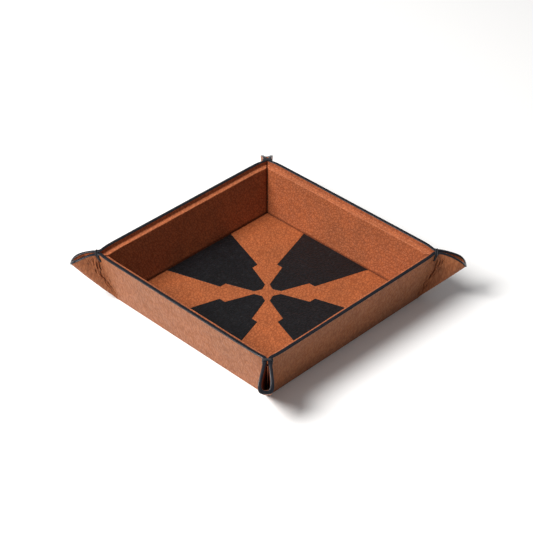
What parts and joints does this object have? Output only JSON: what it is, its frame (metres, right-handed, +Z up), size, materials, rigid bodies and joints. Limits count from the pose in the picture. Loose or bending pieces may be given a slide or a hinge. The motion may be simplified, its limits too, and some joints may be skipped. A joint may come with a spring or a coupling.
{
  "type": "dice tray",
  "caption": "Shallow square dice tray folded from leather, with flared walls, sewn pinched corners that stick out as ears, and an inlaid two-colour floor.",
  "frame": {"origin": "centre of the underside, on the surface the tray rests on", "axes": "+Z up out of the open top; X and Y square to the walls, -Y the front wall and +X the right wall"},
  "size_m": [0.2404, 0.2404, 0.0504],
  "materials": {
    "outer_leather": "matte",
    "lining_leather": "matte",
    "inlay_tan": "matte",
    "inlay_black": "matte",
    "edge_coat": "satin",
    "thread": "satin",
    "board": "matte"
  },
  "bodies": {
    "root": {"outer_leather": "outer_leather", "lining_leather": "lining_leather", "base_board": "board", "wall_board_front": "board", "wall_board_right": "board", "wall_board_back": "board", "wall_board_left": "board", "floor_inlay_tan": "inlay_tan", "floor_inlay_black_front": "inlay_black", "floor_inlay_black_right": "inlay_black", "floor_inlay_black_back": "inlay_black", "floor_inlay_black_left": "inlay_black", "edge_coat": "edge_coat", "corner_tie_front_left": "thread", "corner_tie_front_right": "thread", "corner_tie_back_right": "thread", "corner_tie_back_left": "thread"}
  },
  "joints": []
}
